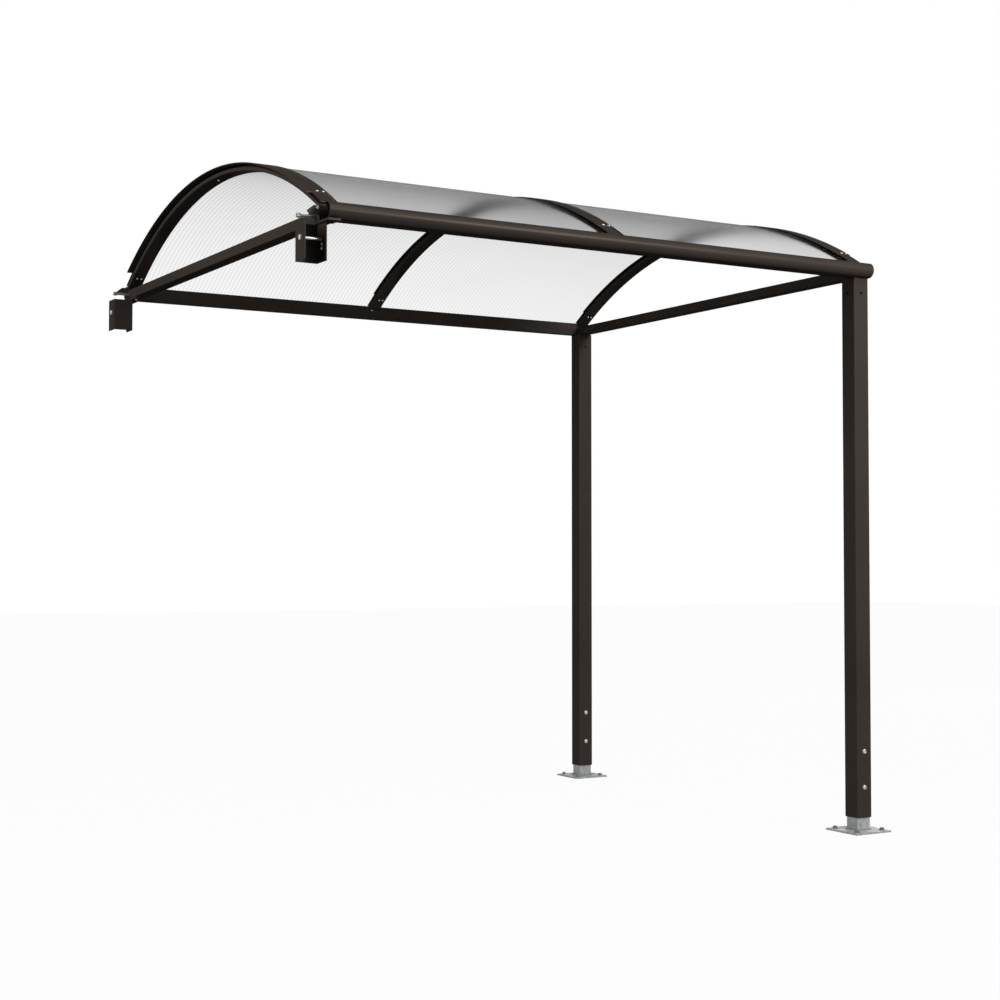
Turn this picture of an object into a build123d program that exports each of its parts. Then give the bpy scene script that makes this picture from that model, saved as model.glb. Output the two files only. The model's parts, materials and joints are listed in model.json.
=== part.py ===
from build123d import *
import os

# Extension bay of a barrel-roofed cycle shelter, in millimetres.
# X runs along the eaves, Y from the open front to the rear, Z up.
# The origin is the middle of the underside of the front base plate.
# The left end has no posts: two sleeves there go round the posts of the next bay.

# Bay
bay_pitch = 2580
bay_depth = 2182
post_top = 2392

# Posts and base sockets
post_side = 80
post_wall = 4
post_bottom = 62
post_corner = 4
plate_side = 195
plate_thick = 8
anchor_spacing = 140
anchor_hole_radius = 7
stub_wall = 4
stub_height = 410
slide_gap = 0.5
lower_bolt_height = 190
bolt_rise = 156
bolt_radius = 5
bolt_gap = 0.5
bolt_head_radius = 8.5
bolt_head_thick = 6
link_hole_drop = 67

# Ties across the ends
tie_width = 60
tie_height = 42
tie_wall = 3
tie_corner = 3
left_tie_x = -2518
right_tie_x = 0

# Eaves gutters
nose_radius = 32.5
gutter_front = -75
gutter_inner = 2
gutter_wall = 3
gutter_back_height = 62.2
lip_width = 17
lip_turn = 9
gutter_right = 42
gutter_left = -2540
cap_thick = 4
cap_bevel = 3

# Arched rafters, roof sheets and covers
roof_rise = 310.2
sheet_thick = 10
sheet_foot = -14
rafter_width = 62
rafter_depth = 15
rib_width = 10
cover_width = 72
cover_thick = 5
cover_stop = 70
strip_width = 60
strip_thick = 3
strip_foot = -12
end_overhang = 19

# Brackets at the feet of the middle rafter
foot_bracket_width = 50
foot_bracket_drop = 42
foot_bracket_reach = 95
foot_bracket_thick = 3

# Sleeves for the posts of the next bay
sleeve_wall = 3
sleeve_height = 142
shoe_thick = 8
shoe_width = 50
shoe_neck = 30
shoe_step = -6
shoe_reach = 125

# Bolts that join the left tie to the next bay
joint_bolt_y = 32
joint_bolt_rise = 18
joint_bolt_radius = 6
joint_head_radius = 9
joint_head_length = 14

# Splice plates in the gutters' left ends
splice_thick = 3
splice_reach = 60
splice_inside = 60
splice_low = 20
splice_high = 54
splice_tip = 33
splice_slope = 27

fit_gap = 0.3

os.makedirs("parts", exist_ok=True)


def save(name, shape):
    export_step(shape, f"parts/{name}.step")


def block(x0, x1, y0, y1, z0, z1):
    """A box between two opposite corners."""
    corner = (Align.MIN, Align.MIN, Align.MIN)
    return Pos(x0, y0, z0) * Box(x1 - x0, y1 - y0, z1 - z0, align=corner)


def box_section(width, height, wall, corner):
    """A hollow box section with rounded outer corners."""
    inside = Rectangle(width - 2 * wall, height - 2 * wall)
    return RectangleRounded(width, height, corner) - inside


def upright_tube(side, wall, corner, bottom, top):
    """An upright square tube about the Z axis."""
    return Pos(0, 0, bottom) * extrude(box_section(side, side, wall, corner), top - bottom)


def bore_x(x, y, z, radius, length):
    return Pos(x, y, z) * Rot(0, 90, 0) * Cylinder(radius, length)


def bore_y(x, y, z, radius, length):
    return Pos(x, y, z) * Rot(90, 0, 0) * Cylinder(radius, length)


def hexagon(radius, length):
    """A hexagonal bolt head or nut standing on the XY plane."""
    return extrude(RegularPolygon(radius, 6), length)


def bolt(length):
    """A through bolt along Z with a head above and a nut below."""
    head = hexagon(bolt_head_radius, bolt_head_thick)
    nut = Pos(0, 0, -length / 2 - bolt_head_thick) * head
    return Cylinder(bolt_radius, length) + Pos(0, 0, length / 2) * head + nut


def at_rear(shape):
    """The same piece at the rear eaves."""
    return mirror(shape, about=Plane.XZ.offset(-bay_depth / 2))


def save_pair(name, shape):
    """Saves a front piece and its mirror image at the rear."""
    save(f"front_{name}", shape)
    save(f"rear_{name}", at_rear(shape))


# Posts, base plates and stubs
stub_side = post_side - 2 * post_wall - 2 * slide_gap
bolt_heights = [lower_bolt_height, lower_bolt_height + bolt_rise]
link_hole_height = post_top - link_hole_drop
hole_radius = bolt_radius + bolt_gap

plate = extrude(Rectangle(plate_side, plate_side), plate_thick)
for place in GridLocations(anchor_spacing, anchor_spacing, 2, 2):
    plate -= place * Cylinder(anchor_hole_radius, 4 * plate_thick)

stub = upright_tube(stub_side, stub_wall, post_corner, plate_thick, stub_height)
post = upright_tube(post_side, post_wall, post_corner, post_bottom, post_top)
for height in bolt_heights:
    stub -= bore_y(0, 0, height, hole_radius, 2 * post_side)
    post -= bore_y(0, 0, height, hole_radius, 2 * post_side)
post -= bore_y(0, 0, link_hole_height, hole_radius, 2 * post_side)
post -= bore_x(0, 0, link_hole_height, hole_radius, 2 * post_side)

for row, y in (("front", 0), ("rear", bay_depth)):
    save(f"{row}_base_plate", Pos(0, y, 0) * plate)
    save(f"{row}_base_stub", Pos(0, y, 0) * stub)
    save(f"{row}_post", Pos(0, y, 0) * post)
    pair = [Pos(0, y, height) * Rot(90, 0, 0) * bolt(post_side) for height in bolt_heights]
    save(f"{row}_post_bolts", Compound(children=pair))


# Roof arches about one axis along X, from the height of the gutters' inner walls and the rise
arch_y = bay_depth / 2
tie_top = post_top + tie_height
gutter_back_top = post_top + gutter_back_height
sheet_seat = gutter_back_top + fit_gap
half_span = arch_y - gutter_inner
sheet_radius = (half_span**2 + roof_rise**2) / (2 * roof_rise)
arch_centre_height = sheet_seat + roof_rise - sheet_radius
roof_top = arch_centre_height + sheet_radius + sheet_thick + 2 * cover_thick


def arc_height(radius, y):
    """Height at a place in Y of an arc about the roof axis."""
    return arch_centre_height + (radius**2 - (arch_y - y) ** 2) ** 0.5


def arch_ring(inner_radius, outer_radius, x0, x1):
    """A ring about the roof axis between two planes of X."""
    ring = Circle(outer_radius) - Circle(inner_radius)
    plane = Plane(origin=(x0, arch_y, arch_centre_height), x_dir=(0, 1, 0), z_dir=(1, 0, 0))
    return plane * extrude(ring, x1 - x0)


def between(shape, foot, floor):
    """Keeps what is above a level and between a place in Y and its mirror image."""
    return shape & block(2 * gutter_left, -gutter_left, foot, bay_depth - foot, floor, roof_top)


# Eaves gutters: an open trough with a half-round nose and a turned-in lip
nose_y = gutter_front + nose_radius
gutter_top = post_top + 2 * nose_radius


def along_x(face, x0, x1):
    """Extrudes a face drawn in (Y, Z) from x0 to x1."""
    plane = Plane(origin=(x0, 0, 0), x_dir=(0, 1, 0), z_dir=(1, 0, 0))
    return plane * extrude(face, x1 - x0)


def trough_outline(inset):
    """The trough's outline in the YZ plane, offset inwards by a wall."""
    radius = nose_radius - inset
    low = post_top + inset
    high = gutter_top - inset
    back = gutter_inner - inset
    nose = ThreePointArc((nose_y, low), (nose_y - radius, low + radius), (nose_y, high))
    across = Line((nose_y, high), (back, high)) + Line((back, high), (back, low))
    return make_face(nose + across + Line((back, low), (nose_y, low)))


def face_block(y0, y1, z0, z1):
    return Pos((y0 + y1) / 2, (z0 + z1) / 2) * Rectangle(y1 - y0, z1 - z0)


lip_y = nose_y + lip_width
mouth = face_block(lip_y, 2 * post_side, gutter_top - 2 * gutter_wall, 2 * gutter_top)
lip = face_block(lip_y - gutter_wall, lip_y, gutter_top - lip_turn, gutter_top)
above_wall = face_block(gutter_inner - 2 * gutter_wall, 2 * post_side, gutter_back_top, 2 * gutter_top)
gutter_face = trough_outline(0) - trough_outline(gutter_wall) - mouth - above_wall + lip
cap_face = trough_outline(0) - above_wall
cap = along_x(cap_face, gutter_right, gutter_right + cap_thick)
cap = chamfer(cap.faces().sort_by(Axis.X)[-1].edges(), cap_bevel)
save_pair("gutter", along_x(gutter_face, gutter_left, gutter_right))
save_pair("gutter_cap", cap)


# Ties: flat box sections across the bay, between the gutters
def tie(x):
    section = box_section(tie_width, tie_height, tie_wall, tie_corner)
    length = bay_depth - 2 * gutter_inner
    middle = post_top + tie_height / 2
    plane = Plane(origin=(x, gutter_inner, middle), x_dir=(1, 0, 0), z_dir=(0, 1, 0))
    return plane * extrude(section, length)


left_tie = tie(left_tie_x)
joint_bolt_height = post_top + joint_bolt_rise
joint_hole_x = left_tie_x - tie_width / 2
joint_hole = bore_x(joint_hole_x, joint_bolt_y, joint_bolt_height, joint_bolt_radius + bolt_gap, tie_width)
left_tie -= joint_hole
left_tie -= at_rear(joint_hole)
save("left_tie", left_tie)
save("right_tie", tie(right_tie_x))


# Rafters, covers and sheets
rafter_top = sheet_radius - fit_gap
rafter_under = rafter_top - rafter_depth
cover_under = sheet_radius + sheet_thick + fit_gap
middle_rafter_x = (left_tie_x + right_tie_x) / 2
rafter_places = {"left": left_tie_x, "middle": middle_rafter_x, "right": right_tie_x}


def rafter(x):
    """A flat bar bent to the roof curve, with a rib along it that parts the two sheets."""
    half = rafter_width / 2
    body = arch_ring(rafter_under, rafter_top, x - half, x + half)
    body += arch_ring(rafter_top, cover_under, x - rib_width / 2, x + rib_width / 2)
    return between(body, gutter_inner + fit_gap, tie_top)


def cover(x, overhang):
    """A broad strip with blunt ends over a narrower one that runs on to the gutters."""
    half = cover_width / 2
    cap_ring = arch_ring(cover_under, cover_under + cover_thick, x - half - overhang, x + half)
    strip = arch_ring(cover_under, cover_under + strip_thick, x - strip_width / 2, x + strip_width / 2)
    return between(cap_ring, cover_stop, tie_top) + between(strip, strip_foot, tie_top)


def sheet(x0, x1):
    """A twin-wall sheet bent over the bay and seated on two rafters."""
    margin = rib_width / 2 + fit_gap
    shell = arch_ring(sheet_radius, sheet_radius + sheet_thick, x0 + margin, x1 - margin)
    return between(shell, sheet_foot, post_top)


for name, x in rafter_places.items():
    save(f"{name}_rafter", rafter(x))
    save(f"{name}_cover", cover(x, end_overhang if name == "left" else 0))
save("left_roof_sheet", sheet(left_tie_x, middle_rafter_x))
save("right_roof_sheet", sheet(middle_rafter_x, right_tie_x))


# Brackets under the feet of the middle rafter: one leg on the gutter, one along the rafter
def foot_bracket():
    half = foot_bracket_width / 2
    x0 = middle_rafter_x - half
    x1 = middle_rafter_x + half
    outer = rafter_under - fit_gap
    leg = arch_ring(outer - foot_bracket_thick, outer, x0, x1)
    leg &= block(x0, x1, gutter_inner + fit_gap, foot_bracket_reach, post_top, roof_top)
    wall_face = gutter_inner + fit_gap
    top = arc_height(outer - foot_bracket_thick / 2, wall_face)
    upright = block(x0, x1, wall_face, wall_face + foot_bracket_thick, top - foot_bracket_drop, top)
    return leg + upright


save_pair("foot_bracket", foot_bracket())


# Sleeves: U-shaped brackets that clasp the posts of the next bay
sleeve_inner = post_side + 2 * slide_gap
sleeve_outer = sleeve_inner + 2 * sleeve_wall
sleeve_top = post_top - shoe_thick
sleeve_bottom = sleeve_top - sleeve_height
half_post = post_side / 2
half_outer = sleeve_outer / 2
half_inner = sleeve_inner / 2
web_face = half_post + slide_gap

outside = block(-half_outer, half_outer, -half_post, web_face + sleeve_wall, sleeve_bottom, sleeve_top)
inside = block(-half_inner, half_inner, -post_side, web_face, 0, post_top)
sleeve = outside - inside - bore_x(0, 0, link_hole_height, hole_radius, 2 * post_side)
save_pair("sleeve", Pos(-bay_pitch, 0, 0) * sleeve)
save_pair("sleeve_bolt", Pos(-bay_pitch, 0, link_hole_height) * Rot(0, -90, 0) * bolt(sleeve_outer))

# Shoes: stepped plates under the gutter and the tie, on the sleeve's right wall
shoe_left = left_tie_x - tie_width / 2
head_part = block(shoe_left, shoe_left + shoe_width, gutter_front, shoe_step, sleeve_top, post_top)
neck_part = block(shoe_left, shoe_left + shoe_neck, shoe_step, shoe_reach, sleeve_top, post_top)
save_pair("shoe", head_part + neck_part)

# Joint bolts: from the tie of this bay through the tie of the next
tie_face = left_tie_x - tie_width / 2
neighbour_face = -bay_pitch - tie_width / 2
shank_end = tie_face + tie_wall
shank_middle = (shank_end + neighbour_face) / 2
shank_length = shank_end - neighbour_face
joint_bolt = bore_x(shank_middle, joint_bolt_y, joint_bolt_height, joint_bolt_radius, shank_length)
joint_head = Rot(0, -90, 0) * hexagon(joint_head_radius, joint_head_length)
save_pair("joint_bolt", joint_bolt + Pos(neighbour_face, joint_bolt_y, joint_bolt_height) * joint_head)

# Splice plates: in the gutters, against the inner walls, with a bevelled end for the next gutter
splice_left = gutter_left - splice_reach
splice_right = gutter_left + splice_inside
splice_outline = [
    (splice_right, post_top + splice_low),
    (splice_left + splice_slope / 3, post_top + splice_low),
    (splice_left, post_top + splice_tip),
    (splice_left + splice_slope, post_top + splice_high),
    (splice_right, post_top + splice_high),
]
splice_wall = gutter_inner - gutter_wall
splice = Plane.XZ.offset(-splice_wall) * extrude(make_face(Polyline(*splice_outline, close=True)), splice_thick)
save_pair("splice_plate", splice)
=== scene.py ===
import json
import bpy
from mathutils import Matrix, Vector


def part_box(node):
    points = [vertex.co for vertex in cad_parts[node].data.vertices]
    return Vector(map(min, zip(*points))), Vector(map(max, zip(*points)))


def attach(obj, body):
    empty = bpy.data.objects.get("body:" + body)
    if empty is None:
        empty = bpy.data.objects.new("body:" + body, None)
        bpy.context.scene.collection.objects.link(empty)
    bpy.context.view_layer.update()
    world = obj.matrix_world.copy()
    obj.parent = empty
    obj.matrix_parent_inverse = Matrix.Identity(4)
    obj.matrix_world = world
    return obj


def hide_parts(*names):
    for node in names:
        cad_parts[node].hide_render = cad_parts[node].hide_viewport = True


bl_info = {
    "name": "Cycle shelter bay",
    "version": (1, 0, 0),
    "blender": (4, 5, 0),
    "location": "View3D > Sidebar > Shelter",
    "description": "Roof sheets, rolled sections, fixings and finishes of a barrel-roofed bay",
    "category": "Object",
}

from math import asin, cos, pi, radians, sin, sqrt

import bmesh
import bpy
from bpy.props import FloatProperty, FloatVectorProperty, IntProperty, PointerProperty
from mathutils import Euler, Matrix, Vector

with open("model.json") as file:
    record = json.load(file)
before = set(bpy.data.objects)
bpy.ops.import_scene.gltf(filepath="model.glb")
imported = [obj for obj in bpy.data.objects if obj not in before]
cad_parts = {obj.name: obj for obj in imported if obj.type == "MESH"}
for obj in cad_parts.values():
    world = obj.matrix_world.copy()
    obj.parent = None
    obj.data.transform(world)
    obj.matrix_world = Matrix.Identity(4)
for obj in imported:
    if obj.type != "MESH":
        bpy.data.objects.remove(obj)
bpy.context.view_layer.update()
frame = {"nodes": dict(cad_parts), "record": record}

# The roof's arcs turn about one line along X. Its middle is halfway between the two gutters.
FRONT_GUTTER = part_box("front_gutter")
REAR_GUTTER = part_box("rear_gutter")
ARCH_Y = (FRONT_GUTTER[0][1] + REAR_GUTTER[1][1]) / 2
ARCH_Z = 0.69806
POST_TOP = FRONT_GUTTER[0][2]

# Radii of the roof's layers about that line, from a rafter's underside to a cover's top.
# The cover is a hair thinner than its solid, so that its crest stays in the solid's box.
FIT_GAP = 0.0003
SHEET_UNDER = 2.06664
SHEET_TOP = SHEET_UNDER + 0.010
RAFTER_TOP = SHEET_UNDER - FIT_GAP
RAFTER_UNDER = RAFTER_TOP - 0.015
BRACKET_UNDER = RAFTER_UNDER - 0.0033
COVER_UNDER = SHEET_TOP + FIT_GAP
STRIP_TOP = COVER_UNDER + 0.003
COVER_TOP = COVER_UNDER + 0.00499
RAFTER_X = {"left": -2.518, "middle": -1.259, "right": 0.0}

# A rafter's rib, and how far it is sunk into the bar below it
RIB_HALF = 0.005
RIB_SINK = 0.0002

# How far an arch is spun past its feet before they are cut, in radians
SPARE_TURN = 0.02

# Points nearer than this are one point.
TOUCHING = 0.00001


# Modelling tools


def select_only(*pieces):
    """Selects these pieces and no others, and makes the first one active."""
    bpy.ops.object.select_all(action="DESELECT")
    for piece in pieces:
        piece.select_set(True)
    bpy.context.view_layer.objects.active = pieces[0]


def fresh(name, add, stretch=(1, 1, 1), **settings):
    """Adds one primitive and moves its place, turn and size into its mesh."""
    bpy.ops.object.select_all(action="DESELECT")
    add(**settings)
    piece = bpy.context.active_object
    piece.name = name
    piece.data.name = name
    piece.scale = stretch
    bpy.ops.object.transform_apply(location=True, rotation=True, scale=True)
    return piece


def disc(name, vertices, radius, depth, under=0.0):
    """A cylinder or prism along Z that stands at a height."""
    return fresh(
        name,
        bpy.ops.mesh.primitive_cylinder_add,
        vertices=vertices,
        radius=radius,
        depth=depth,
        location=(0, 0, under + depth / 2),
    )


class Editing:
    """Edit mode on one piece, where elements are picked by their place."""

    def __init__(self, piece, kind="FACE"):
        self.piece = piece
        self.kind = kind

    def __enter__(self):
        select_only(self.piece)
        bpy.ops.object.mode_set(mode="EDIT")
        self.use(self.kind)
        return self

    def __exit__(self, *problem):
        bpy.ops.object.mode_set(mode="OBJECT")

    def use(self, kind):
        self.kind = kind
        bpy.ops.mesh.select_mode(type=kind)

    def all(self):
        bpy.ops.mesh.select_all(action="SELECT")

    def elements(self, mesh):
        """Each element with its centre, and its normal or an edge's direction."""
        if self.kind == "FACE":
            return [(face, face.calc_center_median(), face.normal) for face in mesh.faces]
        if self.kind == "VERT":
            return [(vert, vert.co, vert.normal) for vert in mesh.verts]
        ends = [(edge, edge.verts[0].co, edge.verts[1].co) for edge in mesh.edges]
        return [(edge, (a + b) / 2, b - a) for edge, a, b in ends]

    def pick(self, test):
        """Selects the elements whose centre and direction pass the test."""
        bpy.ops.mesh.select_all(action="DESELECT")
        mesh = bmesh.from_edit_mesh(self.piece.data)
        picked = [item for item, centre, way in self.elements(mesh) if test(centre, way)]
        if not picked:
            raise RuntimeError(f"nothing to pick on {self.piece.name}")
        for item in picked:
            item.select_set(True)
        mesh.select_flush_mode()
        bmesh.update_edit_mesh(self.piece.data)

    def pick_top(self):
        """Selects the faces that look up."""
        self.pick(lambda centre, normal: normal.z > 0.9)

    def bisect(self, point, outward):
        """Cuts the whole piece off at a plane and closes the cut."""
        self.all()
        bpy.ops.mesh.bisect(plane_co=point, plane_no=outward, use_fill=True, clear_outer=True)

    def outward(self):
        """Merges the points that meet and turns all faces outward."""
        self.all()
        bpy.ops.mesh.remove_doubles(threshold=TOUCHING)
        bpy.ops.mesh.normals_make_consistent(inside=False)


def smooth(piece, angle=35):
    """Smooths the edges that turn by less than an angle, and keeps the others sharp."""
    select_only(piece)
    bpy.ops.object.shade_smooth_by_angle(angle=radians(angle))
    return piece


def joined(name, pieces):
    """Joins several pieces into one."""
    select_only(*pieces)
    bpy.ops.object.join()
    pieces[0].name = name
    pieces[0].data.name = name
    return pieces[0]


def copy_to(model, name, place):
    """A copy of a piece with its own mesh, moved by a matrix."""
    mesh = model.data.copy()
    mesh.name = name
    mesh.transform(place)
    piece = bpy.data.objects.new(name, mesh)
    bpy.context.scene.collection.objects.link(piece)
    return piece


def drop(*pieces):
    """Removes the models that copies were made from."""
    for piece in pieces:
        bpy.data.objects.remove(piece, do_unlink=True)


def finished(piece, finish, slot, *nodes):
    """Gives a piece its finish and its body, and hides the CAD nodes that it stands for."""
    piece.data.materials.append(finish_named(finish))
    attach(piece, "root")
    if nodes:
        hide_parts(*nodes)


def arc_height(radius, y):
    """Height of an arc of the roof at a place in Y."""
    return ARCH_Z + sqrt(radius**2 - (y - ARCH_Y) ** 2)


def arched(name, span, radii, foot, floor, corners=None):
    """A strip of the roof's barrel, cut off at its feet.

    span is its start and end in X, radii its underside and its top, foot the place of
    its front foot in Y, and floor the height of the lowest point that it keeps.
    corners rounds the section's two corners on one side: "under" or "top", the size
    and the segments.
    """
    half_turn = asin((ARCH_Y - foot) / radii[0]) + SPARE_TURN
    middle = sum(radii) / 2
    start_y = ARCH_Y + middle * sin(half_turn)
    start_z = ARCH_Z + middle * cos(half_turn)
    piece = fresh(
        name,
        bpy.ops.mesh.primitive_plane_add,
        stretch=(span[1] - span[0], radii[1] - radii[0], 1),
        size=1,
        location=(sum(span) / 2, start_y, start_z),
        rotation=(pi / 2 - half_turn, 0, 0),
    )
    with Editing(piece, "VERT") as edit:
        if corners:
            side, size, segments = corners
            centre = Vector((0, ARCH_Y, ARCH_Z))

            def on_side(place, normal):
                above = (Vector((0, place.y, place.z)) - centre).length > middle
                return above == (side == "top")

            edit.pick(on_side)
            bpy.ops.mesh.bevel(offset=size, segments=segments, affect="VERTICES")
        edit.use("FACE")
        edit.all()
        bpy.ops.mesh.spin(
            steps=bpy.context.scene.shelter_sections.arch_steps,
            angle=-2 * half_turn,
            center=(0, ARCH_Y, ARCH_Z),
            axis=(1, 0, 0),
        )
        for end in (-1, 1):
            edit.bisect((0, ARCH_Y + end * (ARCH_Y - foot), 0), (0, end, 0))
        edit.bisect((0, 0, floor), (0, 0, -1))
        edit.outward()
    return piece


# Shader tools

# Numbers of the Mix node's sockets for colours
MIX_FACTOR, MIX_FIRST, MIX_SECOND, MIX_RESULT = 0, 6, 7, 2


class Value:
    """A shader socket on which plain arithmetic adds Math nodes."""

    def __init__(self, graph, socket):
        self.graph = graph
        self.socket = socket

    def __add__(self, other):
        return self.graph.maths("ADD", self, other)

    def __sub__(self, other):
        return self.graph.maths("SUBTRACT", self, other)

    def __rsub__(self, other):
        return self.graph.maths("SUBTRACT", other, self)

    def __mul__(self, other):
        return self.graph.maths("MULTIPLY", self, other)

    def __truediv__(self, other):
        return self.graph.maths("DIVIDE", self, other)

    def __pow__(self, other):
        return self.graph.maths("POWER", self, other)

    __radd__ = __add__
    __rmul__ = __mul__

    def step(self, low, high):
        """0 below low, 1 above high, smooth between."""
        return self.graph.add(
            "ShaderNodeMapRange",
            {"Value": self, "From Min": low, "From Max": high},
            interpolation_type="SMOOTHSTEP",
        ).out("Result")


class Node:
    """A shader node whose outputs can be named or counted."""

    def __init__(self, graph, node):
        self.graph = graph
        self.node = node

    def out(self, key=0):
        return Value(self.graph, self.node.outputs[key])


class Finish:
    """The node tree of a material or of the world, filled node by node."""

    def __init__(self, name, world=False):
        library = bpy.data.worlds if world else bpy.data.materials
        self.owner = library.new(name)
        self.owner.use_nodes = True
        self.tree = self.owner.node_tree
        self.tree.nodes.clear()

    def add(self, kind, inputs=None, **settings):
        """Adds a node, makes its settings, then fills its sockets with values or links."""
        node = self.tree.nodes.new(kind)
        for key, value in settings.items():
            setattr(node, key, value)
        for key, value in (inputs or {}).items():
            socket = node.inputs[key]
            if isinstance(value, Value):
                self.tree.links.new(value.socket, socket)
            else:
                socket.default_value = value
        return Node(self, node)

    def maths(self, operation, *terms, clamp=False):
        return self.add(
            "ShaderNodeMath", dict(enumerate(terms)), operation=operation, use_clamp=clamp
        ).out()

    def place(self):
        return self.add("ShaderNodeTexCoord").out("Object")

    def noise(self, scale, detail, roughness=0.5):
        return self.add(
            "ShaderNodeTexNoise",
            {"Vector": self.place(), "Scale": scale, "Detail": detail, "Roughness": roughness},
        ).out()

    def mixed(self, amount, first, second):
        """Mixes two colours."""
        inputs = {MIX_FACTOR: amount}
        for key, value in ((MIX_FIRST, first), (MIX_SECOND, second)):
            inputs[key] = value if isinstance(value, Value) else opaque(value)
        return self.add("ShaderNodeMix", inputs, data_type="RGBA").out(MIX_RESULT)

    def bumped(self, height, strength, distance):
        return self.add(
            "ShaderNodeBump", {"Height": height, "Strength": strength, "Distance": distance}
        ).out("Normal")

    def surface(self, **inputs):
        """Ends the tree with a Principled shader."""
        named = {key.replace("_", " "): value for key, value in inputs.items()}
        shader = self.add("ShaderNodeBsdfPrincipled", named).out("BSDF")
        self.add("ShaderNodeOutputMaterial", {"Surface": shader})


def grey(level):
    return (level, level, level)


def opaque(colour):
    """A colour with its alpha."""
    return (*colour, 1.0)


def toned(colour, share):
    """A colour made darker or lighter."""
    return [channel * share for channel in colour]


def powder_coat(settings):
    """Fine-textured dark brown powder coat with paler specks and cloudy patches."""
    finish = Finish("powder_coat")
    grain = finish.noise(1400.0, 2.0)
    peel = finish.noise(260.0, 3.0)
    cloud = finish.noise(2.2, 3.0)
    coat = settings.coat_colour
    tone = finish.mixed(cloud.step(0.3, 0.7), coat[:], toned(coat, 1.15))
    finish.surface(
        Base_Color=finish.mixed(grain.step(0.55, 0.75) * 0.35, tone, toned(coat, 1.7)),
        Metallic=settings.coat_metal,
        Roughness=settings.coat_roughness + 0.06 * peel + 0.05 * cloud,
        Specular_IOR_Level=0.0,
        Specular_Tint=opaque(grey(0.0)),
        Normal=finish.bumped(0.6 * grain + 0.4 * peel, 0.25, 0.0002),
    )


def galvanised_steel(settings):
    """Hot-dip zinc with its spangle and a dull bloom."""
    finish = Finish("galvanised_steel")
    spangle = finish.add("ShaderNodeTexVoronoi", {"Vector": finish.place(), "Scale": 90.0})
    crystal = finish.add("ShaderNodeSeparateColor", {"Color": spangle.out("Color")}).out()
    bloom = finish.noise(14.0, 5.0, 0.6)
    fine = finish.noise(700.0, 3.0)
    zinc = settings.zinc_colour
    tone = finish.mixed(crystal, toned(zinc, 0.72), zinc[:])
    finish.surface(
        Base_Color=finish.mixed(bloom.step(0.45, 0.75) * 0.4, tone, grey(0.60)),
        Metallic=0.35,
        Roughness=0.36 + 0.16 * crystal + 0.14 * bloom,
        Specular_IOR_Level=0.2,
        Normal=finish.bumped(0.7 * crystal + 0.3 * fine, 0.18, 0.0003),
    )


def plated(name, colour, metal):
    """Plated steel, dulled a little by the weather."""
    finish = Finish(name)
    turned = finish.noise(500.0, 2.0)
    stain = finish.noise(60.0, 4.0)
    finish.surface(
        Base_Color=finish.mixed(stain.step(0.4, 0.8), colour[:], toned(colour, 0.7)),
        Metallic=metal,
        Roughness=0.28 + 0.12 * turned + 0.1 * stain,
        Normal=finish.bumped(turned, 0.12, 0.0001),
    )


def bright_zinc(settings):
    """The bright plating of the screws, the rivets and the through bolts."""
    plated("bright_zinc", settings.bolt_colour, 0.75)


def dull_zinc(settings):
    """The darker plating of the anchor bolts and the ties' joint bolts."""
    plated("dull_zinc", settings.dull_colour, 0.6)


def twin_wall_sheet(settings):
    """Clear twin-wall sheet, with ribs along the arc between two thin skins."""
    finish = Finish("twin_wall_sheet")
    spot = finish.add("ShaderNodeSeparateXYZ", {"Vector": finish.place()})
    cell = finish.maths("FRACT", spot.out("X") / settings.rib_pitch)
    rib = finish.maths("ABSOLUTE", cell - 0.5).step(0.5 - settings.rib_share, 0.5)
    out_y = spot.out("Y") - ARCH_Y
    out_z = spot.out("Z") - ARCH_Z
    radius = (out_y * out_y + out_z * out_z) ** 0.5
    inner_skin = 1.0 - radius.step(SHEET_UNDER + 0.004, SHEET_TOP - 0.004)
    haze = finish.noise(3.0, 3.0)
    wave = finish.noise(45.0, 2.0)
    edge_on = finish.add("ShaderNodeLayerWeight", {"Blend": 0.5}).out("Facing")
    glancing = settings.sheet_edge * edge_on**2.75 + settings.sheet_rim * edge_on**24.0
    rib_shade = settings.rib_opacity + settings.rib_edge * edge_on**6.0
    hidden = settings.sheet_opacity + 0.02 * haze + rib_shade * rib * inner_skin + glancing
    clear = finish.maths("SUBTRACT", 1.0, hidden, clamp=True)
    # Squared, because each face of the sheet lets through the root of its colour.
    level = clear * clear
    tint = finish.add("ShaderNodeCombineColor", {0: level, 1: level, 2: level}).out()
    finish.surface(
        Base_Color=tint,
        Transmission_Weight=1.0,
        Roughness=settings.sheet_blur + 0.02 * haze,
        Specular_IOR_Level=0.02,
        Normal=finish.bumped(0.2 * wave, 0.2, 0.0006),
        IOR=settings.sheet_bend,
    )


def seal_with_painted_shadow(settings):
    """Matt black rubber with a dusty bloom. Its black also paints the shadow line beside the
    covers.
    """
    finish = Finish("seal_with_painted_shadow")
    dust = finish.noise(30.0, 4.0)
    fine = finish.noise(900.0, 2.0)
    finish.surface(
        Base_Color=finish.mixed(dust.step(0.45, 0.8) * 0.3, grey(0.004), grey(0.02)),
        Roughness=0.75 + 0.15 * dust,
        Specular_IOR_Level=0.0,
        Normal=finish.bumped(fine, 0.3, 0.0002),
    )


def weld_metal(settings):
    """Zinc-coated weld with its ripples."""
    finish = Finish("weld_metal")
    ripple = finish.noise(320.0, 3.0)
    zinc = settings.zinc_colour
    finish.surface(
        Base_Color=finish.mixed(ripple, toned(zinc, 0.5), toned(zinc, 0.9)),
        Metallic=0.35,
        Roughness=0.45 + 0.2 * ripple,
        Specular_IOR_Level=0.2,
        Normal=finish.bumped(ripple, 0.5, 0.0006),
    )


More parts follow.
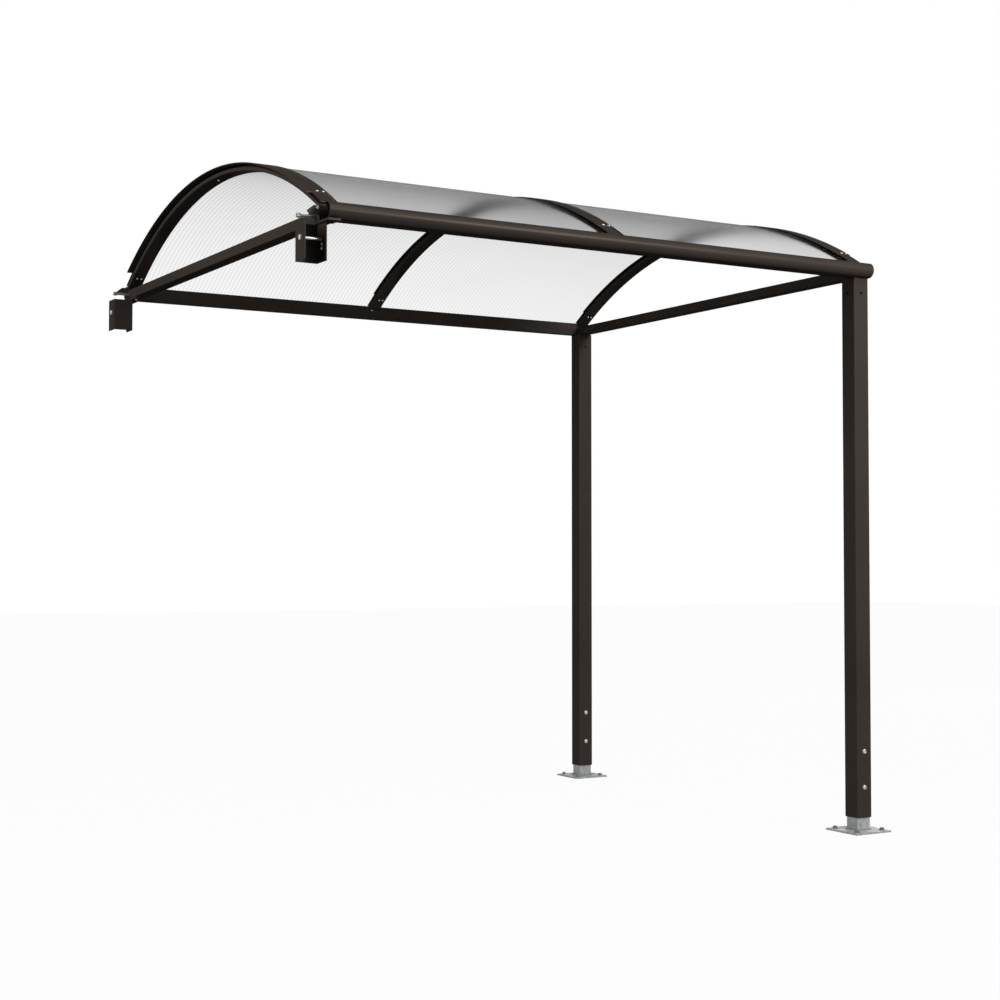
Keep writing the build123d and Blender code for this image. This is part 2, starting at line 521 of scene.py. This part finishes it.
FINISHES = {
    "powder_coat": powder_coat,
    "galvanised_steel": galvanised_steel,
    "bright_zinc": bright_zinc,
    "dull_zinc": dull_zinc,
    "twin_wall_sheet": twin_wall_sheet,
    "seal_with_painted_shadow": seal_with_painted_shadow,
    "weld_metal": weld_metal,
}


def finish_named(name):
    """The named finish, made on its first use."""
    if name not in bpy.data.materials:
        FINISHES[name](bpy.context.scene.shelter_finish)
    return bpy.data.materials[name]


# Settings


def colour(name, description, default):
    return FloatVectorProperty(
        name=name,
        description=description,
        default=default,
        subtype="COLOR",
        size=3,
        min=0.0,
        max=1.0,
    )


def amount(name, description, default, min=0.0, **kind):
    return FloatProperty(name=name, description=description, default=default, min=min, **kind)


def length(name, description, default):
    return amount(name, description, default, subtype="DISTANCE", unit="LENGTH")


def share(name, description, default):
    return amount(name, description, default, subtype="FACTOR", max=1.0)


def power(name, description, default):
    return amount(name, description, default, unit="POWER")


def steps(name, description, default):
    return IntProperty(name=name, description=description, default=default, min=6)


class ShelterFinish(bpy.types.PropertyGroup):
    coat_colour: colour("Powder coat", "Colour of the painted frame", (0.034, 0.028, 0.0245))
    coat_metal: share("Coat flake", "Share of the coat that shines back like metal", 0.18)
    coat_roughness: share("Coat roughness", "Roughness of the coat at its smoothest", 0.30)
    zinc_colour: colour("Galvanising", "Colour of the base sockets", (0.33, 0.34, 0.35))
    bolt_colour: colour("Fixings", "Colour of the plated bolts and screws", (0.45, 0.45, 0.44))
    dull_colour: colour(
        "Dull fixings", "Colour of the anchor bolts and joint bolts", (0.14, 0.138, 0.135)
    )
    sheet_opacity: share("Sheet opacity", "How much one skin of the sheet hides", 0.01)
    sheet_edge: share("Edge opacity", "How much more a skin hides at a glancing angle", 0.31)
    sheet_rim: share("Rim opacity", "How much more a skin hides seen edge on", 0.62)
    sheet_blur: share("Sheet blur", "Roughness of the sheet, which blurs what is behind", 0.28)
    sheet_bend: amount("Sheet bend", "How much the sheet bends light", 1.012, min=1.0)
    rib_pitch: length("Rib pitch", "Distance between the ribs of the sheet", 0.0193)
    rib_share: share("Rib width", "Share of the pitch taken by half a rib", 0.25)
    rib_opacity: share("Rib opacity", "How much more a rib hides", 0.17)
    rib_edge: share("Rib edge opacity", "How much more a rib hides at a glancing angle", 0.15)


class ShelterSections(bpy.types.PropertyGroup):
    rafter_width: length("Rafter width", "Width of the arched rafters", 0.062)
    rafter_round: length("Rafter corner", "Radius of the rafters' lower corners", 0.0045)
    cover_width: length("Cover width", "Width of the covers", 0.072)
    cover_round: length("Cover corner", "Radius of the covers' upper corners", 0.0018)
    end_overhang: length("End overhang", "How far the left cover reaches over the next bay", 0.019)
    cover_stop: length("Cover stop", "Place in Y where the covers end", 0.070)
    strip_width: length("Strip width", "Width of the strip under the covers", 0.060)
    # The seal is a black bead: a rubber seal whose black also paints the shadow line beside the
    # covers.
    seal_width: length("Seal width", "Width of the rubber bead beside the covers", 0.004)
    seal_height: length("Seal height", "Height of the rubber bead", 0.004)
    arch_steps: steps("Arch steps", "Steps of each arch", 192)
    gutter_wall: length("Gutter wall", "Thickness of the gutter sheet", 0.003)
    nose_radius: length("Nose radius", "Radius of the gutter's half-round front", 0.0325)
    nose_steps: steps("Nose steps", "Steps of the gutter's nose", 24)
    lip_width: length("Lip width", "Width of the gutter's turned-in lip", 0.017)
    lip_turn: length("Lip turn", "Height of the edge turned down behind the lip", 0.009)


class ShelterFixings(bpy.types.PropertyGroup):
    screw_radius: length("Screw head", "Radius of the screws' heads", 0.0055)
    screw_height: length("Screw height", "Height of the screws' heads", 0.0032)
    rivet_radius: length("Rivet head", "Radius of the rivet heads", 0.005)
    button_radius: length("Bolt washer", "Radius of the through bolts' washers", 0.0105)
    shank_radius: length("Bolt shank", "Radius of the through bolts", 0.005)
    anchor_radius: length("Anchor head", "Radius of the anchor bolts over the corners", 0.0095)
    anchor_height: length("Anchor height", "Height of the anchor bolts' heads", 0.0085)
    washer_radius: length("Washer", "Radius of the anchor bolts' washers", 0.0125)
    washer_height: length("Washer height", "Thickness of the anchor bolts' washers", 0.0025)
    weld_size: length("Weld", "Height of the weld round each stub", 0.005)


class ShelterStage(bpy.types.PropertyGroup):
    focal_length: amount("Lens", "Focal length of the camera", 61.85, min=1.0, unit="CAMERA")
    key_power: power("Key light", "Power of the key light", 500.0)
    fill_power: power("Fill light", "Power of the fill light", 300.0)
    top_power: power("Top light", "Power of the top light", 220.0)
    back_power: power("Back light", "Power of the back light", 220.0)
    world_level: amount("World", "Strength of the light from all round", 0.16)
    floor_glow: share("Floor white", "Share of the floor's white that takes no shadow", 0.97)
    floor_tone: share("Floor tone", "Tone of the floor under its white", 0.2)


# Pieces


class SHELTER_OT_cad_finishes(bpy.types.Operator):
    """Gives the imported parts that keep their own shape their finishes"""

    bl_idname = "shelter.cad_finishes"
    bl_label = "Finish the CAD parts"

    def execute(self, context):
        by_slot = {
            "painted": "powder_coat",
            "galvanised": "galvanised_steel",
            "fixings": "bright_zinc",
            "sheet": "twin_wall_sheet",
        }
        for part in frame["record"]["subparts"]:
            finish = finish_named(by_slot[part["material_slot"]])
            if part["node"] in ("front_joint_bolt", "rear_joint_bolt"):
                finish = finish_named("dull_zinc")
            node = frame["nodes"][part["node"]]
            if not node.material_slots:
                node.data.materials.append(finish)
            for slot in node.material_slots:
                slot.material = finish
        return {"FINISHED"}


class SHELTER_OT_roof_sheets(bpy.types.Operator):
    """Bends the two clear sheets over the bay"""

    bl_idname = "shelter.roof_sheets"
    bl_label = "Roof sheets"

    def execute(self, context):
        for name in ("left", "right"):
            node = f"{name}_roof_sheet"
            low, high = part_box(node)
            sheet = arched(
                f"{name}_clear_sheet",
                span=(low[0], high[0]),
                radii=(SHEET_UNDER, SHEET_TOP),
                foot=low[1],
                floor=POST_TOP,
            )
            finished(smooth(sheet, 20), "twin_wall_sheet", "sheet", node)
        return {"FINISHED"}


class SHELTER_OT_rafters(bpy.types.Operator):
    """Makes the arched rafters with their rounded lower corners"""

    bl_idname = "shelter.rafters"
    bl_label = "Rafters"

    def execute(self, context):
        sections = context.scene.shelter_sections
        half = sections.rafter_width / 2
        for name, x in RAFTER_X.items():
            node = f"{name}_rafter"
            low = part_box(node)[0]
            ends = {"foot": low[1], "floor": low[2]}
            bar = arched(
                f"{name}_bar",
                span=(x - half, x + half),
                radii=(RAFTER_UNDER, RAFTER_TOP),
                corners=("under", sections.rafter_round, 4),
                **ends,
            )
            rib = arched(
                f"{name}_rib",
                span=(x - RIB_HALF, x + RIB_HALF),
                radii=(RAFTER_TOP - RIB_SINK, COVER_UNDER),
                **ends,
            )
            piece = smooth(joined(f"{name}_arched_rafter", [bar, rib]))
            finished(piece, "powder_coat", "painted", node)
        return {"FINISHED"}


class SHELTER_OT_covers(bpy.types.Operator):
    """Makes the covers and the strips below them"""

    bl_idname = "shelter.covers"
    bl_label = "Covers"

    def execute(self, context):
        sections = context.scene.shelter_sections
        half = sections.cover_width / 2
        thin = sections.strip_width / 2
        for name, x in RAFTER_X.items():
            node = f"{name}_cover"
            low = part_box(node)[0]
            overhang = sections.end_overhang if name == "left" else 0.0
            blade = arched(
                f"{name}_blade",
                span=(x - half - overhang, x + half),
                radii=(COVER_UNDER, COVER_TOP),
                foot=sections.cover_stop,
                floor=low[2],
                corners=("top", sections.cover_round, 3),
            )
            strip = arched(
                f"{name}_strip",
                span=(x - thin, x + thin),
                radii=(COVER_UNDER, STRIP_TOP),
                foot=low[1],
                floor=low[2],
            )
            piece = smooth(joined(f"{name}_arched_cover", [blade, strip]))
            finished(piece, "powder_coat", "painted", node)
        return {"FINISHED"}


class SHELTER_OT_seals(bpy.types.Operator):
    """Lays a black rubber bead on the sheets beside two of the covers. The bead is a rubber seal,
    and its black paints the shadow line there.
    """

    bl_idname = "shelter.seals"
    bl_label = "Rubber seals"

    def execute(self, context):
        sections = context.scene.shelter_sections
        width = sections.seal_width
        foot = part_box("left_roof_sheet")[0][1] + 0.002
        for name in ("left", "middle"):
            start = RAFTER_X[name] + sections.cover_width / 2
            # A black bead beside the cover: a rubber seal, and painted shade for the shadow line
            # beside the cover.
            bead = arched(
                f"{name}_seal",
                span=(start, start + width),
                radii=(SHEET_TOP, SHEET_TOP + sections.seal_height),
                foot=foot,
                floor=POST_TOP,
                corners=("top", 0.4 * width, 3),
            )
            finished(smooth(bead, 50), "seal_with_painted_shadow", "sheet")
        return {"FINISHED"}


class SHELTER_OT_gutters(bpy.types.Operator):
    """Rolls the two eaves gutters"""

    bl_idname = "shelter.gutters"
    bl_label = "Gutters"

    def execute(self, context):
        sections = context.scene.shelter_sections
        low, high = FRONT_GUTTER
        radius = sections.nose_radius
        nose_y = low[1] + radius
        back_y = high[1]
        lip_y = nose_y + sections.lip_width
        floor_z = low[2]
        top_z = floor_z + 2 * radius
        back_top = arc_height(SHEET_UNDER, back_y) - FIT_GAP
        gutter = fresh(
            "front_rolled_gutter",
            bpy.ops.mesh.primitive_plane_add,
            stretch=(high[0] - low[0], back_y - nose_y, 1),
            size=1,
            location=((low[0] + high[0]) / 2, (back_y + nose_y) / 2, floor_z),
        )
        with Editing(gutter, "EDGE") as edit:

            def pick_run(axis, place):
                """Selects the long edge that lies at a place in Y or Z."""
                edit.pick(lambda co, way: abs(way.x) > 1 and abs(co[axis] - place) < TOUCHING)

            def pull(y, z):
                bpy.ops.mesh.extrude_edges_move(TRANSFORM_OT_translate={"value": (0, y, z)})

            pick_run(1, back_y)
            pull(0, back_top - floor_z)
            pick_run(1, nose_y)
            bpy.ops.mesh.spin(
                steps=sections.nose_steps,
                angle=pi,
                center=(0, nose_y, floor_z + radius),
                axis=(1, 0, 0),
            )
            pick_run(2, top_z)
            pull(sections.lip_width, 0)
            pick_run(1, lip_y)
            pull(0, -sections.lip_turn)
            edit.outward()
        wall = gutter.modifiers.new("Wall", "SOLIDIFY")
        wall.thickness = sections.gutter_wall
        wall.offset = -1.0
        wall.use_even_offset = True
        select_only(gutter)
        bpy.ops.object.modifier_apply(modifier=wall.name)
        smooth(gutter)
        mirror = Matrix.Translation((0, 2 * ARCH_Y, 0)) @ Matrix.Diagonal((1, -1, 1, 1))
        rear = copy_to(gutter, "rear_rolled_gutter", mirror)
        with Editing(rear) as edit:
            edit.outward()
        smooth(rear)
        finished(gutter, "powder_coat", "painted", "front_gutter")
        finished(rear, "powder_coat", "painted", "rear_gutter")
        return {"FINISHED"}


def pan_screw(name, radius, height):
    """A low round screw head with a socket, on the XY plane."""
    screw = disc(name, 24, radius, height)
    with Editing(screw) as edit:
        edit.pick_top()
        bpy.ops.mesh.bevel(offset=0.6 * height, segments=4, affect="EDGES")
        edit.pick(lambda co, normal: normal.z > 0.99 and co.z > height * 0.95)
        bpy.ops.mesh.inset(thickness=radius * 0.1)
        bpy.ops.mesh.extrude_region_move(TRANSFORM_OT_translate={"value": (0, 0, -0.6 * height)})
        edit.outward()
    return smooth(screw, 40)


def washer(name, radius, thick):
    """A round washer with an eased edge, on the XY plane."""
    ring = disc(name, 32, radius, thick)
    with Editing(ring) as edit:
        edit.pick_top()
        bpy.ops.mesh.bevel(offset=0.25 * thick, segments=2, affect="EDGES")
    return ring


def button_head(name, radius, height):
    """A button head with its socket on a washer, on the XY plane."""
    under = washer(f"{name}_washer", radius, 0.25 * height)
    head = pan_screw(name, 0.86 * radius, 0.75 * height)
    head.data.transform(Matrix.Translation((0, 0, 0.25 * height)))
    return smooth(joined(name, [head, under]), 40)


def shank(name, radius, span):
    """A round bar up from the XY plane, with eased ends."""
    bar = disc(name, 24, radius, span)
    with Editing(bar) as edit:
        edit.pick(lambda co, normal: abs(normal.z) > 0.9)
        bpy.ops.mesh.bevel(offset=0.12 * radius, segments=2, affect="EDGES")
    return smooth(bar, 40)


def dome_rivet(name, radius):
    """A low dome head on the XY plane."""
    rivet = fresh(
        name, bpy.ops.mesh.primitive_uv_sphere_add, segments=20, ring_count=10, radius=radius
    )
    sunk = 0.3 * radius
    with Editing(rivet) as edit:
        edit.bisect((0, 0, sunk), (0, 0, -1))
        edit.all()
        bpy.ops.transform.translate(value=(0, 0, -sunk))
        edit.outward()
    return smooth(rivet, 40)


def on_roof(x, y, radius, outward=1):
    """Place and direction of a point on an arc of the roof."""
    point = Vector((x, y, arc_height(radius, y)))
    normal = Vector((0, y - ARCH_Y, point.z - ARCH_Z)).normalized() * outward
    return point, normal


def stood_on(model, name, point, normal):
    """Stands a copy of a head on a surface."""
    turn = Vector((0, 0, 1)).rotation_difference(Vector(normal)).to_matrix().to_4x4()
    head = copy_to(model, name, Matrix.Translation(point) @ turn)
    finished(head, "bright_zinc", "fixings")


def both_ends(model, name, point, normal):
    """Stands a head at a place at the front and at its mirror image at the rear."""
    stood_on(model, f"front_{name}", point, normal)
    rear_point = (point[0], 2 * ARCH_Y - point[1], point[2])
    rear_normal = (normal[0], -normal[1], normal[2])
    stood_on(model, f"rear_{name}", rear_point, rear_normal)


class SHELTER_OT_roof_fixings(bpy.types.Operator):
    """Puts the screws on the covers and the rivets under the rafters"""

    bl_idname = "shelter.roof_fixings"
    bl_label = "Roof fixings"

    screw_y = 0.078
    screw_shifts = {"a": -0.0045, "b": 0.0205}
    rivet_y = 0.076
    rivet_shifts = {"a": -0.007, "b": 0.0125}
    crown_shift = (-0.002, -0.010)

    def execute(self, context):
        fixings = context.scene.shelter_fixings
        screw = pan_screw("cover_screw", fixings.screw_radius, fixings.screw_height)
        rivet = dome_rivet("rafter_rivet", fixings.rivet_radius)
        for name, x in RAFTER_X.items():
            for side, shift in self.screw_shifts.items():
                spot = on_roof(x + shift, self.screw_y, COVER_TOP)
                both_ends(screw, f"{name}_cover_screw_{side}", *spot)
            face = BRACKET_UNDER if name == "middle" else RAFTER_UNDER
            for side, shift in self.rivet_shifts.items():
                spot = on_roof(x + shift, self.rivet_y, face, -1)
                both_ends(rivet, f"{name}_rivet_{side}", *spot)
            shift_x, shift_y = self.crown_shift
            spot = on_roof(x + shift_x, ARCH_Y + shift_y, RAFTER_UNDER, -1)
            stood_on(rivet, f"{name}_rivet_crown", *spot)
        drop(screw, rivet)
        return {"FINISHED"}


class SHELTER_OT_bracket_fixings(bpy.types.Operator):
    """Puts the screws in the brackets, the sleeves, the splice plates and the shoes"""

    bl_idname = "shelter.bracket_fixings"
    bl_label = "Bracket fixings"

    metal_wall = 0.003

    def execute(self, context):
        fixings = context.scene.shelter_fixings
        screw = pan_screw("bracket_screw", fixings.screw_radius, fixings.screw_height)
        splice_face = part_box("front_splice_plate")[0][1]
        sleeve_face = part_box("front_sleeve")[1][0] - self.metal_wall
        bracket_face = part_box("front_foot_bracket")[0][1] + self.metal_wall
        shoe_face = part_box("front_shoe")[0][2]
        gutter_face = FRONT_GUTTER[1][1]
        left, ahead, behind, down = (-1, 0, 0), (0, -1, 0), (0, 1, 0), (0, 0, -1)
        spots = {
            "splice_screw": ((-2.558, splice_face, 2.438), ahead),
            "sleeve_screw_0": ((sleeve_face, -0.002, 2.307), left),
            "sleeve_screw_1": ((sleeve_face, -0.002, 2.292), left),
            "bracket_screw_0": ((-1.245, bracket_face, 2.4535), behind),
            "bracket_screw_1": ((-1.272, bracket_face, 2.4365), behind),
            "shoe_screw": ((-2.530, 0.074, shoe_face), down),
            "wall_screw_0": ((0.0395, gutter_face, 2.446), behind),
            "wall_screw_1": ((0.0395, gutter_face, 2.408), behind),
        }
        for name, (point, normal) in spots.items():
            both_ends(screw, name, point, normal)
        drop(screw)
        return {"FINISHED"}


class SHELTER_OT_through_bolts(bpy.types.Operator):
    """Makes the bolts through the posts and the sleeves"""

    bl_idname = "shelter.through_bolts"
    bl_label = "Through bolts"

    def execute(self, context):
        fixings = context.scene.shelter_fixings
        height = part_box("front_post")[0][1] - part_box("front_post_bolts")[0][1]
        head = button_head("button_head", fixings.button_radius, height)
        shanks = {}

        def bolt_through(name, axis_turn, low, high, centre):
            """A shank with a head at each end, between two faces along an axis."""
            span = high - low
            if span not in shanks:
                shanks[span] = shank(f"shank_{len(shanks)}", fixings.shank_radius, span)
            turn = Matrix.Translation(centre) @ axis_turn
            start = turn @ Matrix.Translation((0, 0, low))
            end = turn @ Matrix.Translation((0, 0, high))
            bar = copy_to(shanks[span], name, start)
            top = copy_to(head, f"{name}_top", end)
            foot = copy_to(head, f"{name}_foot", start @ Matrix.Rotation(pi, 4, "X"))
            return joined(name, [bar, top, foot])

        along_x = Matrix.Rotation(pi / 2, 4, "Y")
        along_y = Matrix.Rotation(-pi / 2, 4, "X")
        for row in ("front", "rear"):
            post_low, post_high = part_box(f"{row}_post")
            low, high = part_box(f"{row}_post_bolts")
            middle = (post_low[0] + post_high[0]) / 2
            tip = 0.5 * (high[0] - low[0])
            bolts = [
                bolt_through(
                    f"{row}_post_bolt_{number}", along_y, post_low[1], post_high[1], (middle, 0, z)
                )
                for number, z in enumerate((low[2] + tip, high[2] - tip))
            ]
            piece = smooth(joined(f"{row}_post_button_bolts", bolts), 40)
            finished(piece, "bright_zinc", "fixings", f"{row}_post_bolts")
            sleeve_low, sleeve_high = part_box(f"{row}_sleeve")
            low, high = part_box(f"{row}_sleeve_bolt")
            centre = (0, (low[1] + high[1]) / 2, (low[2] + high[2]) / 2)
            piece = bolt_through(
                f"{row}_sleeve_button_bolt", along_x, sleeve_low[0], sleeve_high[0], centre
            )
            finished(smooth(piece, 40), "bright_zinc", "fixings", f"{row}_sleeve_bolt")
        drop(head, *shanks.values())
        return {"FINISHED"}


class SHELTER_OT_anchor_bolts(bpy.types.Operator):
    """Puts a hexagon bolt and washer in each hole of the base plates"""

    bl_idname = "shelter.anchor_bolts"
    bl_label = "Anchor bolts"

    hole_offset = 0.07

    def execute(self, context):
        fixings = context.scene.shelter_fixings
        thick = fixings.washer_height
        head = disc("anchor_head", 6, fixings.anchor_radius, fixings.anchor_height, under=thick)
        with Editing(head) as edit:
            edit.pick_top()
            bpy.ops.mesh.bevel(offset=0.0014, segments=2, affect="EDGES")
        ring = washer("anchor_washer", fixings.washer_radius, thick)
        bolt = smooth(joined("anchor_bolt", [head, ring]), 30)
        corners = ((-1, -1), (1, -1), (1, 1), (-1, 1))
        for row, first_turn in (("front", 0.0), ("rear", 0.3)):
            low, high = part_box(f"{row}_base_plate")
            for number, (side_x, side_y) in enumerate(corners):
                point = (
                    (low[0] + high[0]) / 2 + side_x * self.hole_offset,
                    (low[1] + high[1]) / 2 + side_y * self.hole_offset,
                    high[2],
                )
                turn = Matrix.Rotation(0.7 * number + first_turn, 4, "Z")
                piece = copy_to(
                    bolt, f"{row}_anchor_bolt_{number}", Matrix.Translation(point) @ turn
                )
                finished(piece, "dull_zinc", "fixings")
        drop(bolt)
        return {"FINISHED"}


class SHELTER_OT_base_welds(bpy.types.Operator):
    """Runs a weld round the foot of each stub"""

    bl_idname = "shelter.base_welds"
    bl_label = "Base welds"

    corner_radius = 0.006

    def execute(self, context):
        size = context.scene.shelter_fixings.weld_size
        low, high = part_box("front_base_stub")
        side = high[0] - low[0] + 2 * size
        plate_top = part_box("front_base_plate")[1][2]
        weld = fresh(
            "base_weld",
            bpy.ops.mesh.primitive_cube_add,
            stretch=(side, side, size),
            size=1,
            location=(0, 0, plate_top + size / 2),
        )
        with Editing(weld, "EDGE") as edit:
            edit.pick(lambda co, way: abs(way.z) > 0.5 * size)
            bpy.ops.mesh.bevel(offset=self.corner_radius, segments=4, affect="EDGES")
            edit.use("FACE")
            edit.pick_top()
            bpy.ops.mesh.inset(thickness=0.3 * size)
            bpy.ops.mesh.inset(thickness=0.6 * size)
            bpy.ops.transform.translate(value=(0, 0, 0.5 * size))
            edit.outward()
        smooth(weld, 60)
        middle = (low[0] + high[0]) / 2
        for row, y in (("front", 0.0), ("rear", 2 * ARCH_Y)):
            piece = copy_to(weld, f"{row}_base_weld", Matrix.Translation((middle, y, 0)))
            finished(piece, "weld_metal", "galvanised")
        drop(weld)
        return {"FINISHED"}


# Stage


def seen_directly(finish):
    """1 where the camera sees the background and 0 where it lights a piece.

    The camera also sees it reflected in metal and through the clear sheets.
    """
    path = finish.add("ShaderNodeLightPath")
    seen = finish.maths("MAXIMUM", path.out("Is Camera Ray"), path.out("Is Glossy Ray"))
    seen = finish.maths("MAXIMUM", seen, path.out("Is Transmission Ray"))
    return seen * finish.maths("LESS_THAN", path.out("Diffuse Depth"), 0.5)


def white_floor(stage):
    """A floor that the camera sees nearly white, with a little of the shadow on it."""
    finish = Finish("pale_floor")
    matt = finish.add("ShaderNodeBsdfDiffuse", {"Color": opaque(grey(stage.floor_tone))}).out()
    glow = finish.add("ShaderNodeEmission", {"Color": opaque(grey(1.0)), "Strength": 1.0}).out()
    white = seen_directly(finish) * stage.floor_glow
    both = finish.add("ShaderNodeMixShader", {0: white, 1: matt, 2: glow}).out()
    finish.add("ShaderNodeOutputMaterial", {"Surface": both})
    return finish.owner


def white_world(stage):
    """A world that the camera sees white and that lights the pieces softly."""
    sky = Finish("studio_world", world=True)
    soft, white = (
        sky.add("ShaderNodeBackground", {"Color": opaque(grey(1.0)), "Strength": level}).out()
        for level in (stage.world_level, 1.0)
    )
    both = sky.add("ShaderNodeMixShader", {0: seen_directly(sky), 1: soft, 2: white}).out()
    sky.add("ShaderNodeOutputWorld", {"Surface": both})
    return sky.owner


def area_lamp(name, place, aim, size, power):
    """A square lamp that doesn't shine through the clear sheets."""
    data = bpy.data.lights.new(name, "AREA")
    data.shape = "SQUARE"
    data.size = size
    data.energy = power
    lamp = bpy.data.objects.new(name, data)
    lamp.location = place
    lamp.visible_transmission = False
    lamp.rotation_euler = (Vector(aim) - Vector(place)).to_track_quat("-Z", "Y").to_euler()
    bpy.context.scene.collection.objects.link(lamp)


class SHELTER_OT_stage(bpy.types.Operator):
    """Sets up the camera, the floor, the lights and the world"""

    bl_idname = "shelter.stage"
    bl_label = "Stage"

    camera_place = (-5.1015, -5.6521, 1.1670)
    camera_turn = (92.0, -0.02, -30.35)
    floor_place = (-1.3, 1.1, -0.0002)

    def execute(self, context):
        scene = context.scene
        stage = scene.shelter_stage
        lens = bpy.data.cameras.new("photo_camera")
        lens.lens = stage.focal_length
        lens.sensor_width = 36.0
        lens.clip_end = 200.0
        camera = bpy.data.objects.new("photo_camera", lens)
        camera.location = self.camera_place
        camera.rotation_euler = Euler([radians(angle) for angle in self.camera_turn])
        scene.collection.objects.link(camera)
        scene.camera = camera

        floor = fresh(
            "studio_floor", bpy.ops.mesh.primitive_plane_add, size=60.0, location=self.floor_place
        )
        floor.data.materials.append(white_floor(stage))
        scene.world = white_world(stage)

        area_lamp("key_light", (1.5, -5.5, 4.5), (-0.8, 0.5, 1.9), 1.8, stage.key_power)
        area_lamp("fill_light", (-7.0, 0.5, 3.8), (-2.5, 1.0, 2.3), 3.0, stage.fill_power)
        area_lamp("top_light", (-0.5, -4.0, 7.5), (-1.0, 0.0, 2.3), 1.5, stage.top_power)
        area_lamp("back_light", (7.5, 4.5, 3.2), (-0.8, 1.6, 1.6), 3.0, stage.back_power)
        scene.view_settings.view_transform = "Standard"
        return {"FINISHED"}


STEPS = (
    SHELTER_OT_stage,
    SHELTER_OT_cad_finishes,
    SHELTER_OT_roof_sheets,
    SHELTER_OT_rafters,
    SHELTER_OT_covers,
    SHELTER_OT_seals,
    SHELTER_OT_gutters,
    SHELTER_OT_roof_fixings,
    SHELTER_OT_bracket_fixings,
    SHELTER_OT_through_bolts,
    SHELTER_OT_anchor_bolts,
    SHELTER_OT_base_welds,
)
GROUPS = {
    "shelter_finish": ShelterFinish,
    "shelter_sections": ShelterSections,
    "shelter_fixings": ShelterFixings,
    "shelter_stage": ShelterStage,
}


class SHELTER_PT_panel(bpy.types.Panel):
    """Lists the shelter's pieces and settings in the sidebar"""

    bl_idname = "SHELTER_PT_panel"
    bl_label = "Cycle shelter bay"
    bl_space_type = "VIEW_3D"
    bl_region_type = "UI"
    bl_category = "Shelter"

    def draw(self, context):
        for step in STEPS:
            self.layout.operator(step.bl_idname)
        for group, kind in GROUPS.items():
            for key in kind.__annotations__:
                self.layout.prop(getattr(context.scene, group), key)


def register():
    for kind in (*GROUPS.values(), *STEPS, SHELTER_PT_panel):
        bpy.utils.register_class(kind)
    for name, kind in GROUPS.items():
        setattr(bpy.types.Scene, name, PointerProperty(type=kind))


def unregister():
    for name in GROUPS:
        delattr(bpy.types.Scene, name)
    for kind in reversed((*GROUPS.values(), *STEPS, SHELTER_PT_panel)):
        bpy.utils.unregister_class(kind)


def main():
    register()
    for step in STEPS:
        group, name = step.bl_idname.split(".")
        getattr(getattr(bpy.ops, group), name)()


if __name__ == "__main__":
    main()
